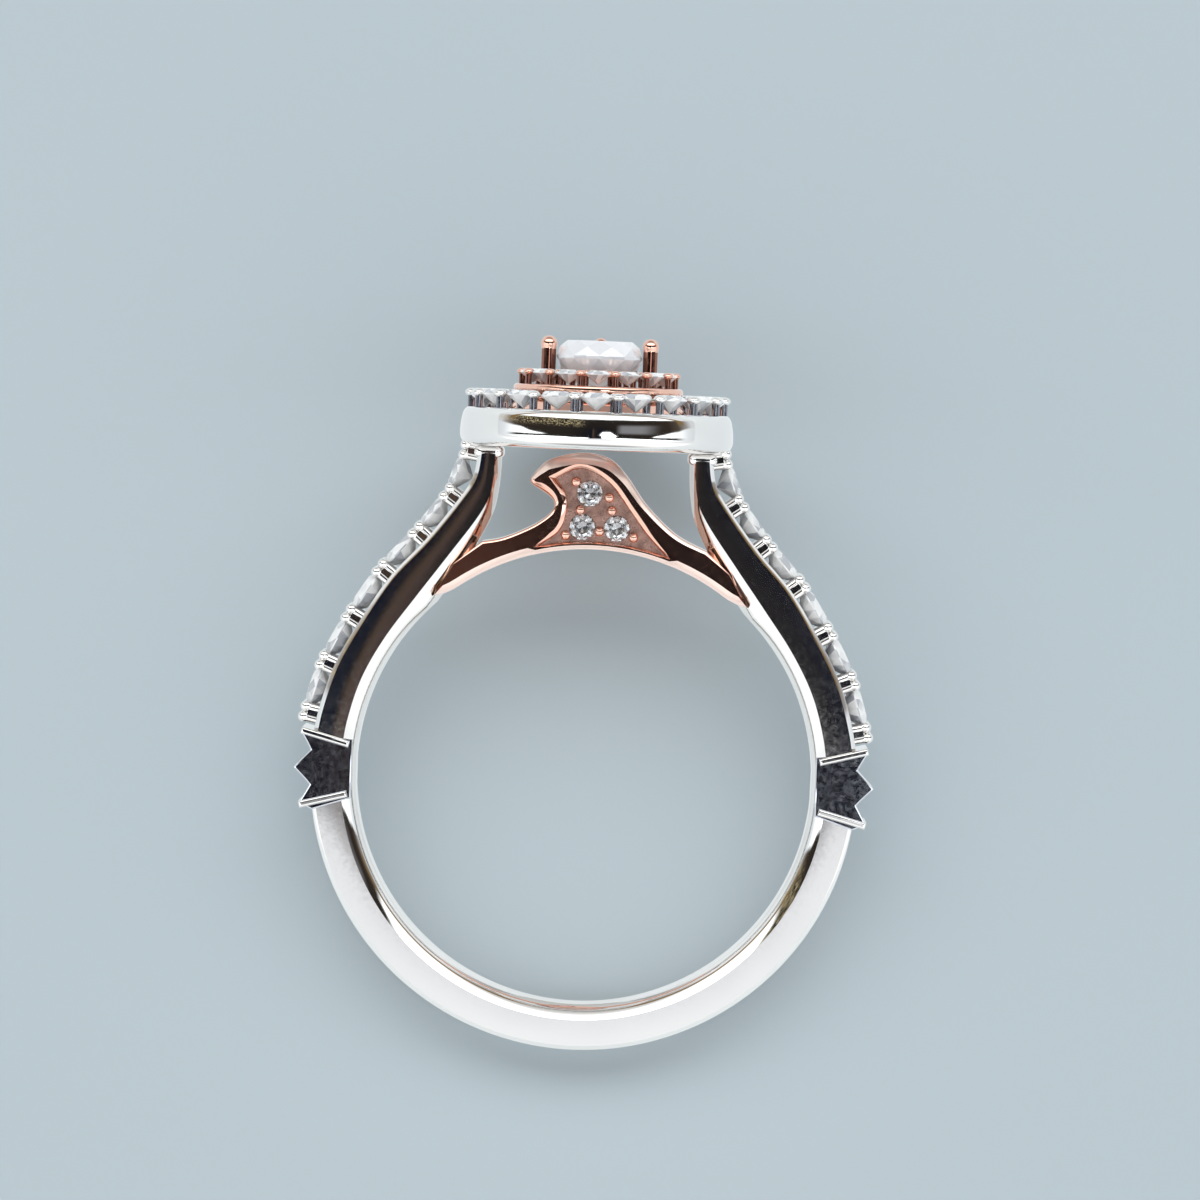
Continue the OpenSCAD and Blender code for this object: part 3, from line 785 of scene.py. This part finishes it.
def build_shoulder_prongs():
    """Shared prongs between the shoulder stones, each split in two with a bar between its halves."""
    shape = Shape()
    profile = bead_profile(PRONG_R, PRONG_H, PRONG_BEAD_R)
    half, top = PRONG_BAR
    for side in (-1, 1):
        for i in PRONG_ROWS:
            foot, n = Vector(SHOULDER_ROWS[i][:2]), outward(i)
            along = Vector((-n.y, n.x))
            for y in (-PRONG_Y, PRONG_Y):
                for step in (-PRONG_APART, PRONG_APART):
                    shape.lathe(profile, stand_on(foot + along * step, n, y, side))
            corners = [foot + along * u + n * (v - PRONG_BAR_SINK)
                       for u, v in ((-half, 0), (half, 0), (half, top), (-half, top))]
            outline = [(side * p.x, p.y) for p in corners]
            bevelled_slab(shape, outline, PRONG_Y + PRONG_BAR_END, PRONG_BAR_EDGE)
    add_piece("shoulder_prongs", shape, [WHITE_GOLD], "shank", crease=PRONG_CREASE)


# Collars

def collar_outline():
    """From the lower end to the upper one: two hollow scallops that meet in three points."""
    steps = 8

    def scallop(notch, tip):
        bend = notch * (1 - NOTCH_BEND) + tip * NOTCH_BEND - tip.normalized() * NOTCH_SINK
        shares = [k / steps for k in range(steps + 1)]
        return [notch * (1 - t) ** 2 + bend * 2 * t * (1 - t) + tip * t ** 2 for t in shares]

    a = COLLAR_ANGLE
    points = [polar(COLLAR_IN_R, -a), polar(BAND_R, -a - COLLAR_FLARE), polar(COLLAR_END_R, -a)]
    points += scallop(polar(NOTCH_R, -a / 2), polar(COLLAR_TIP_R, 0))
    points += scallop(polar(NOTCH_R, a / 2), polar(COLLAR_END_R, a))
    return points + [polar(COLLAR_IN_R, a)]


def build_collars():
    """A textured plate on each side of the band, closed by two polished ridges."""
    shape = Shape()
    for side in (-1, 1):
        outline = [(side * p.x, p.y) for p in collar_outline()]
        bevelled_slab(shape, outline, COLLAR_HALF, COLLAR_EDGE, 3, 1, COLLAR_LEAN)
        for end in (-1, 1):
            low, high = (polar(r, angle * end) for r, angle in RIDGE_ENDS)
            along = (high - low).normalized()
            across = Vector((-along.y, along.x)) * RIDGE_HALF
            corners = [low - across, high - across, high + across, low + across]
            bevelled_slab(shape, [(side * p.x, p.y) for p in corners], RIDGE_DEPTH, RIDGE_EDGE, 5)
    add_piece("collars", shape, [WHITE_GOLD, COLLAR_GOLD], "shank", flat=COLLAR_FLAT)


# Halos

def tray_side():
    """Outer side of the halo's tray from its underside up: three arcs that run smoothly together."""
    steps = 10
    points = [TRAY_SIDE_FOOT]
    for r, low, high in TRAY_SIDE:
        d, z = points[-1]
        start, end = math.radians(low), math.radians(high)
        for k in range(1, steps + 1):
            a = start + (end - start) * k / steps
            across, up = math.cos(a) - math.cos(start), math.sin(a) - math.sin(start)
            points.append((d + r * across, z + r * up))
    return points


def build_halo_frame():
    """Tray of the outer halo, with its posts inside and outside the stones."""
    foot = [(TRAY_IN, TRAY_Z, TRAY_EDGE_R), (TRAY_FOOT, TRAY_Z, 0)]
    deck = [(TRAY_RIM, OUTER_DECK_Z, 0), (TRAY_WELL, OUTER_DECK_Z, TRAY_EDGE_R)]
    well = [(TRAY_WELL, TRAY_FLOOR_Z, 0), (TRAY_IN, TRAY_FLOOR_Z, TRAY_EDGE_R)]
    shape = Shape()
    pear_tray(shape, rounded(foot + [(d, z, 0) for d, z in tray_side()] + deck + well, 7))
    top = ROUND_DEPTH * OUTER_STONE + 2 * GAP + OUTER_POST_OVER
    for i in range(OUTER_COUNT):
        for push, cap_r in OUTER_POSTS:
            place = on_pear(OUTER_LINE, (i + 0.5) / OUTER_COUNT, push, OUTER_DECK_Z)
            shape.lathe(capped_profile(OUTER_STEM_R, top, cap_r, OUTER_CAP), place, stem=2)
    # the posts' stems get the second material, a painted shade
    materials = [WHITE_GOLD, SHADED_WHITE]
    add_piece("halo_tray", shape, materials, "halo_frame", crease=TRAY_CREASE)


def build_inner_halo():
    """Tray of the inner halo, with its posts and the claws of the centre stone. A claw takes an inner
    post's place on each side, and one stands at the tip."""
    top = INNER_DECK_Z
    shape = Shape()
    pear_tray(shape, rounded(INNER_SECTION, 6))
    post_top = ROUND_DEPTH * INNER_STONE + 2 * GAP + INNER_POST_OVER
    half_count = INNER_COUNT // 2
    claw_post, tip_post = half_count // 2 - 1, half_count - 1
    for i in range(half_count):
        for share in ((i + 0.5) / INNER_COUNT, 1 - (i + 0.5) / INNER_COUNT):
            for push, cap_r in INNER_POSTS[:1] if i in (claw_post, tip_post) else INNER_POSTS:
                place = on_pear(INNER_LINE, share, push, top)
                shape.lathe(capped_profile(INNER_STEM_R, post_top, cap_r, INNER_CAP), place, stem=2)
            if i == claw_post:
                place = on_pear(INNER_LINE, share, CLAW_R + GAP - INNER_LINE, top)
                shape.lathe(bead_profile(CLAW_R, CLAW_Z - top, CLAW_TIP_R), place, FINE_SIDES, 2)
    place = upright(0, HEAD_Y + PEAR_TIP + TIP_CLAW_BEAD_R, top)
    shape.lathe(bead_profile(TIP_CLAW_R, TIP_CLAW_Z - top, TIP_CLAW_BEAD_R), place, FINE_SIDES, 2)
    # the stems of the posts and claws get the second material, a painted shade
    add_piece("inner_tray", shape, [ROSE_GOLD, SHADED_ROSE], "inner_halo", crease=TRAY_CREASE)


# Wave bridge

def bridge_outline():
    """Points with their rim: X-Z point, inset of the front face, depth of the rim and its first slope."""
    right = []
    for i in BRIDGE_ROWS:
        _, inner, line = edge_at(SHOULDER_ROWS[i])
        right.append(line + (inner - line).normalized() * JOINT_SINK)
    tip = right[1] * (1 - TIP_SHARE) + right[0] * TIP_SHARE
    arc_end = math.atan2(tip.y, tip.x)
    points = [((x, z), (rim, rim, CREST_SLOPE)) for x, z, rim in spline(CREST, CREST_STEPS)]
    points.append((tuple(right[0]), JOINT_RIM))
    low, high = FIELD_TIPS
    for k in range(ARC_STEPS + 1):
        a = arc_end + (math.pi - 2 * arc_end) * k / ARC_STEPS
        to_end = min(k, ARC_STEPS - k) / TIP_STEPS
        p = polar(BORE_R + TIP_RISE * max(0, 1 - to_end) ** 2, a)
        past_field = max(low - FIELD_PAST - p.x, p.x - high - FIELD_PAST, 0)
        inset = ARC_RIM + ARC_RIM_MORE * min(1, past_field / FIELD_BLEND)
        rim = CORNER_RIM if k in (0, ARC_STEPS) else (inset, inset * ARC_RIM_DEEP, ARC_SLOPE)
        points.append((tuple(p), rim))
    points.append(((-right[0].x, right[0].y), JOINT_RIM))
    hollow = spline(HOLLOW, HOLLOW_STEPS)[:-1]
    return points + [((x, z), (rim, rim * HOLLOW_RIM_DEEP, ARC_SLOPE)) for x, z, rim in hollow]


def arc_share(start, share):
    """How far an arc from a slope to the vertical has run outwards and down, at a share of its turn."""
    a = start + (math.pi / 2 - start) * share
    return (math.sin(a) - math.sin(start)) / (1 - math.sin(start)), 1 - math.cos(a) / math.cos(start)


def field_loop():
    """Outline of the stone field, and its lip's width at each point, which is narrow along its foot."""
    end, start = (math.acos(x / FIELD_LOW_R) for x in FIELD_TIPS)
    foot_steps, side_steps, blend = 14, 6, 8
    turns = [start + (end - start) * k / foot_steps for k in range(foot_steps + 1)]
    foot = [tuple(polar(FIELD_LOW_R, a)) for a in turns]
    right = spline(FIELD_RIGHT + [foot[0]], side_steps)[:-1]
    left = spline([foot[-1]] + FIELD_LEFT, side_steps)[1:-1]
    grow = [LIP_NARROW + (LIP_WIDE - LIP_NARROW) * k / blend for k in range(1, blend)]
    right_lips = [LIP_WIDE] * (len(right) - len(grow)) + grow[::-1]
    left_lips = grow + [LIP_WIDE] * (len(left) - len(grow))
    return right + foot + left, right_lips + [LIP_NARROW] * len(foot) + left_lips


def add_bridge_body(shape):
    """Sides and back of the bridge, with satin roundings on its crest and along the finger hole, whose
    paler tone is a painted highlight. Returns the rim of its front, which is still open."""
    rows = bridge_outline()
    inwards = inward_normals([p for p, _ in rows], BRIDGE_LEAST)
    steps = 6
    rings = []
    for k in range(steps + 1):
        ring = []
        for (p, (inset, deep, start)), w in zip(rows, inwards):
            run, rise = arc_share(start, k / steps)
            left = inset * (1 - run)
            ring.append((p[0] + w.x * left, -BRIDGE_HALF + deep * rise, p[1] + w.y * left))
        rings.append(ring)
    rings += [[(x, -y, z) for x, y, z in ring] for ring in reversed(rings)]
    n = len(rows)
    points = [p for ring in rings for p in ring]
    crest_rows = CREST_STEPS * (len(CREST) - 1)
    arc_start = crest_rows + 2
    # faces with the satin finish and its painted highlight
    satin = [j < crest_rows or arc_start <= j < arc_start + ARC_STEPS for j in range(n)]
    paint = [2 if satin[j] and i != steps else 0 for i in range(len(rings) - 1) for j in range(n)]
    back = cap(points, (len(rings) - 1) * n, n)
    shape.add(points, skin(len(rings), n) + back, paint + [0] * len(back))
    return rings[0]


def add_bridge_front(shape, rim, field, lips):
    """Front face from the rim to the stone field, and the field's rounded lip down to its floor."""
    steps = 4
    inwards = inward_normals(field, BRIDGE_LEAST)
    rings = []
    for k in range(steps + 1):
        run, rise = arc_share(LIP_SLOPE, k / steps)
        rings.append([
            (p[0] - w.x * lip * (1 - run), -BRIDGE_HALF + LIP_DEPTH * rise, p[1] - w.y * lip * (1 - run))
            for p, w, lip in zip(field, inwards, lips)
        ])
    rings.append([(x, FIELD_DEPTH - BRIDGE_HALF, z) for x, z in field])
    n, m = len(rim), len(field)
    faces = filled([[(x, z) for x, _, z in loop] for loop in (rim, rings[0])])
    for i in range(len(rings) - 1):
        here, there = n + i * m, n + (i + 1) * m
        faces += [(here + j, here + (j + 1) % m, there + (j + 1) % m, there + j) for j in range(m)]
    shape.add([(x, -BRIDGE_HALF, z) for x, _, z in rim] + [p for ring in rings for p in ring], faces)


def add_bridge_floor(shape, field):
    """Matte floor of the stone field, with a hollow cone under each stone."""
    sides = FINE_SIDES
    seat_r = WAVE_STONE_D / 2 + WAVE_SEAT_ROOM
    floor_y = FIELD_DEPTH - BRIDGE_HALF
    loops = [field]
    for x, z in WAVE_STONES:
        angles = [2 * math.pi * k / sides for k in range(sides)]
        loops.append([(x + seat_r * math.cos(a), z + seat_r * math.sin(a)) for a in angles])
    points = [(x, floor_y, z) for loop in loops for x, z in loop]
    faces = filled(loops)
    paint = [1] * len(faces)
    first = len(field)
    for x, z in WAVE_STONES:
        tip = len(points)
        points.append((x, floor_y + WAVE_SEAT_DEPTH * WAVE_STONE_D, z))
        faces += [(first + k, first + (k + 1) % sides, tip) for k in range(sides)]
        paint += [0] * sides
        first += sides
    shape.add(points, faces, paint)


def build_wave_bridge():
    shape = Shape()
    field, lips = field_loop()
    rim = add_bridge_body(shape)
    add_bridge_front(shape, rim, field, lips)
    add_bridge_floor(shape, field)
    face_front = Matrix.Rotation(math.radians(90), 4, "X")
    for x, z in WAVE_BEADS:
        place = upright(x, FIELD_DEPTH - BRIDGE_HALF - WAVE_BEAD_SINK, z) @ face_front
        shape.lathe(bead_profile(*WAVE_BEAD), place, WAVE_BEAD_SIDES)
    materials = [ROSE_GOLD, MATTE_ROSE, SATIN_HIGHLIGHT_ROSE]
    add_piece("wave", shape, materials, "wave_bridge", crease=TRAY_CREASE)


# Stage

def build_floor():
    material, tree, shader = node_material("pale_floor")
    colour = mix(tree, noise(tree, 0.02 / MM), (0.35, 0.415, 0.45), (0.385, 0.445, 0.475))
    fill(tree, shader, {"Base Color": colour, "Roughness": 0.6})
    corners = [(-1, -1), (1, -1), (1, 1), (-1, 1)]
    mesh = bpy.data.meshes.new("floor")
    mesh.from_pydata([(x * FLOOR_HALF, y * FLOOR_HALF, 0) for x, y in corners], [], [(0, 1, 2, 3)])
    mesh.materials.append(material)
    floor = add_object("floor", mesh)


def build_camera():
    """The camera stands far in front of the ring, level with its head, as in the photograph."""
    place, target = LAY @ Vector(EYE), LAY @ Vector(TARGET)
    up = (LAY.to_3x3() @ Vector(UP)).normalized()
    back = (place - target).normalized()
    right = up.cross(back).normalized()
    turn = Matrix((right, back.cross(right), back)).transposed().to_4x4()
    data = bpy.data.cameras.new("camera")
    data.sensor_width = 36
    data.lens = data.sensor_width * FOCAL_PX / PHOTO_SIZE
    data.clip_start = 0.01
    camera = add_object("camera", data)
    camera.matrix_world = Matrix.Translation(place) @ turn
    bpy.context.scene.camera = camera


def build_light_table():
    """A soft light in the floor under the ring, unseen by the camera, as jewellery is often lit."""
    data = bpy.data.lights.new("light_table", "AREA")
    data.size = 1200 * MM
    data.energy = 1.9
    data.color = (1.0, 0.96, 0.93)
    light = add_object("light_table", data)
    light.location = (0, 0, 0.1 * MM)
    light.rotation_euler = (math.pi, 0, 0)
    light.visible_camera = False


# Surroundings, by how far a direction points above the ring's level, ahead of it and to its right, from -1
# to 1. Two numbers are where something starts and is complete, and four where it also wanes and ends.
BLACK = (0.0043, 0.004, 0.0047)
SKY_UP = [
    (0.0, (0.9, 0.95, 0.98)), (0.78, (1, 1, 1)), (0.9, (0.5, 0.5, 0.5)), (1.0, (0.42, 0.42, 0.42)),
]
SKY_AHEAD = [
    (0.0, (0.29, 0.295, 0.30)), (0.1, (0.32, 0.325, 0.33)), (0.3, (0.5, 0.5, 0.5)), (0.6, (1, 1, 1)),
]
TABLE_UP = [
    (-1.0, (0.12, 0.12, 0.12)), (-0.9, (0.16, 0.16, 0.16)), (-0.78, (0.40, 0.40, 0.40)),
    (-0.3, (0.42, 0.425, 0.43)), (-0.14, (0.34, 0.35, 0.36)), (-0.07, (0.30, 0.305, 0.32)),
]
DUSK_AHEAD = [
    (-0.3, (0.26, 0.27, 0.28)), (0.0, (0.24, 0.25, 0.26)), (0.1, (0.12, 0.115, 0.11)),
    (0.25, (0.03, 0.024, 0.018)), (0.4, (0.012, 0.009, 0.007)), (0.92, (0.008, 0.0065, 0.0055)),
    (1.0, BLACK),
]
GLOW_ASIDE = [  # a golden gleam in the dusk straight ahead
    (-0.12, BLACK), (-0.06, (0.002, 0.003, 0.0065)), (-0.053, (0.009, 0.0065, 0.0055)),
    (-0.046, (0.026, 0.018, 0.0125)), (-0.036, (0.028, 0.018, 0.0155)),
    (-0.02, (0.0065, 0.0058, 0.0058)), (0.03, BLACK), (0.05, (0.0035, 0.0038, 0.0065)), (0.12, BLACK),
]
GLOW_AHEAD = (0.97, 0.99)
WINDOW = (0.085, 0.085, 0.09)
WINDOW_ASIDE = (0.27, 0.38, 0.6, 0.85)
WINDOW_ABOVE = (0.06, 0.14, 0.26, 0.34)
SPECKS = (0.2, 0.17, 0.1)
SPECKS_SCALE = 38.0
SPECKS_SHARE = (0.5, 0.62)
SPECKS_ASIDE = (-0.1, -0.3)
SPECKS_ABOVE = (0.2, 0.32)
LEVEL_ABOVE = (-0.032, -0.02, 0.02, 0.032)
LEVEL_AHEAD = (0.1, 0.35)
LEVEL_LEFT = (0.1, 0.06)
LEVEL_RIGHT = (0.26, 0.3)
DUSK_TOP = (0.42, 0.50)
DUSK_BACK = (-0.12, -0.3)
BROWN = (0.085, 0.056, 0.024)
BROWN_AHEAD = (0.11, 0.15, 0.21, 0.25)
BROWN_ABOVE = (0.24, 0.34)
PLAIN = (0.23, 0.252, 0.266)

# Heights of the white table's edge by how far ahead it is, and of the haze's top and foot by how far aside,
# with how softly they begin
TABLE_EDGE = [
    (-0.3, 0.1), (-0.1, 0.0), (0.2, -0.06), (0.5, -0.12), (0.85, -0.2), (0.95, -0.16), (0.985, -0.079),
]
TABLE_TILT = 0.0065  # how much that edge rises or falls at TILT_REACH aside
TILT_REACH = 0.1
HAZE_TOP = [
    (-1.0, 0.30), (-0.98, 0.22), (-0.85, 0.10), (-0.64, 0.01), (-0.27, -0.05), (-0.1, -0.04),
    (0.03, 0.0), (0.09, 0.12), (0.2, 0.13), (0.28, 0.05), (0.34, 0.0), (0.71, 0.01), (0.85, 0.09),
    (0.95, 0.17), (1.0, 0.27),
]
HAZE_FOOT = [(-1.0, -0.4), (-0.2, -0.4), (-0.08, 0.02), (0.07, 0.02), (0.16, -0.4), (1.0, -0.4)]
TABLE_SOFT = (0.006, -0.006)
TOP_SOFT = (0.02, -0.03)
FOOT_SOFT = (0.0, 0.04)
UNEVEN = 0.03  # how much the haze and the dusk waver at their tops
UNEVEN_SCALE = 4.0


def direction_along(tree, axis):
    """How far a direction of the surroundings points along an axis, from -1 to 1."""
    inputs = {0: add_node(tree, "TexCoord", {})["Generated"], 1: axis}
    return add_node(tree, "VectorMath", inputs, operation="DOT_PRODUCT")["Value"]


def soft_step(tree, value, span):
    """Rises smoothly from 0 at a span's first number to 1 at its last, which may be the lower one."""
    return spread(tree, value, 0.0, 1.0, span[0], span[-1], "SMOOTHSTEP")


def product(tree, value, *others):
    for other in others:
        value = combined(tree, "MULTIPLY", value, other)
    return value


def between(tree, value, span):
    """Is 1 in the middle of a span of four numbers and 0 outside it."""
    low, rise, fall, high = span
    return product(tree, soft_step(tree, value, (low, rise)), soft_step(tree, value, (high, fall)))


def ramp_of(tree, value, rows):
    """Colour ramp by rows of a value and the colour there."""
    (low, first), (high, last) = rows[0], rows[-1]
    ramp = tree.nodes.new("ShaderNodeValToRGB")
    fill(tree, ramp, {"Fac": spread(tree, value, 0.0, 1.0, low, high)})
    elements = ramp.color_ramp.elements
    elements[0].color, elements[1].color = (*first, 1), (*last, 1)
    for at, colour in rows[1:-1]:
        elements.new((at - low) / (high - low)).color = (*colour, 1)
    return ramp.outputs["Color"]


def height_along(tree, value, rows):
    """Height of a line in the surroundings, by rows of a value and the height there."""
    low, high = min(height for _, height in rows), max(height for _, height in rows)
    shares = [(at, [(height - low) / (high - low)] * 3) for at, height in rows]
    return spread(tree, ramp_of(tree, value, shares), low, high, 0.0, 1.0)


def build_world():
    """A soft bright studio. Its front is dark from the level of the ring's head a good way up, and a white
    table lies below. What the camera sees past the floor is plain."""
    world = bpy.data.worlds.new("studio")
    bpy.context.scene.world = world
    world.use_nodes = True
    tree = world.node_tree
    ahead, above, aside = (direction_along(tree, axis) for axis in (FRONT, HEAD, RIGHT))

    sky = mix(tree, 1.0, ramp_of(tree, above, SKY_UP), ramp_of(tree, ahead, SKY_AHEAD), "MULTIPLY")
    dusk, glow = ramp_of(tree, ahead, DUSK_AHEAD), ramp_of(tree, aside, GLOW_ASIDE)
    dusk = mix(tree, soft_step(tree, ahead, GLOW_AHEAD), dusk, glow)

    # A grey window on the right of the dusk, and golden specks on its left
    window = product(tree, between(tree, aside, WINDOW_ASIDE), between(tree, above, WINDOW_ABOVE))
    dusk = mix(tree, window, dusk, WINDOW)
    grains = soft_step(tree, noise(tree, SPECKS_SCALE, space="Generated"), SPECKS_SHARE)
    left, high = soft_step(tree, aside, SPECKS_ASIDE), soft_step(tree, above, SPECKS_ABOVE)
    dusk = mix(tree, product(tree, grains, left, high), dusk, SPECKS)

    # A bright haze low in the dusk, with a thin dark line at the head's level for the claws and posts
    ragged = spread(tree, noise(tree, UNEVEN_SCALE, space="Generated"), -UNEVEN, UNEVEN, 0.0, 1.0)
    uneven = combined(tree, "ADD", above, ragged)
    over_haze = combined(tree, "SUBTRACT", uneven, height_along(tree, aside, HAZE_TOP))
    over_foot = combined(tree, "SUBTRACT", above, height_along(tree, aside, HAZE_FOOT))
    haze = product(tree, soft_step(tree, over_haze, TOP_SOFT), soft_step(tree, over_foot, FOOT_SOFT))
    left, right = soft_step(tree, aside, LEVEL_LEFT), soft_step(tree, aside, LEVEL_RIGHT)
    level_line = product(tree, between(tree, above, LEVEL_ABOVE), soft_step(tree, ahead, LEVEL_AHEAD),
                         combined(tree, "MAXIMUM", left, right))
    dusk = mix(tree, combined(tree, "SUBTRACT", haze, level_line), dusk, sky)
    upper = mix(tree, soft_step(tree, uneven, DUSK_TOP), dusk, sky)
    upper = mix(tree, soft_step(tree, ahead, DUSK_BACK), upper, sky)

    # A brown edge low in front, which the chamfers of the shoulders catch
    edge = product(tree, between(tree, ahead, BROWN_AHEAD), soft_step(tree, above, BROWN_ABOVE))
    upper = mix(tree, edge, upper, BROWN)

    over_table = combined(tree, "SUBTRACT", above, height_along(tree, ahead, TABLE_EDGE))
    tilt = spread(tree, aside, -TABLE_TILT, TABLE_TILT, -TILT_REACH, TILT_REACH)
    over_table = combined(tree, "SUBTRACT", over_table, tilt)
    table = ramp_of(tree, above, TABLE_UP)
    whole = mix(tree, soft_step(tree, over_table, TABLE_SOFT), upper, table)
    seen = add_node(tree, "LightPath", {})["Is Camera Ray"]
    fill(tree, tree.nodes["Background"], {"Color": mix(tree, seen, whole, PLAIN), "Strength": 3.2})


build_camera()
build_floor()
build_light_table()
build_world()
for name, node in frame["nodes"].items():
    if "stone" in name:
        node.data.materials.clear()
        node.data.materials.append(STONE_MATERIALS[name.split("_")[0]])
build_band()
build_pads()
build_shoulder_prongs()
build_collars()
build_halo_frame()
build_inner_halo()
build_wave_bridge()
bpy.context.scene.view_settings.view_transform = "Standard"
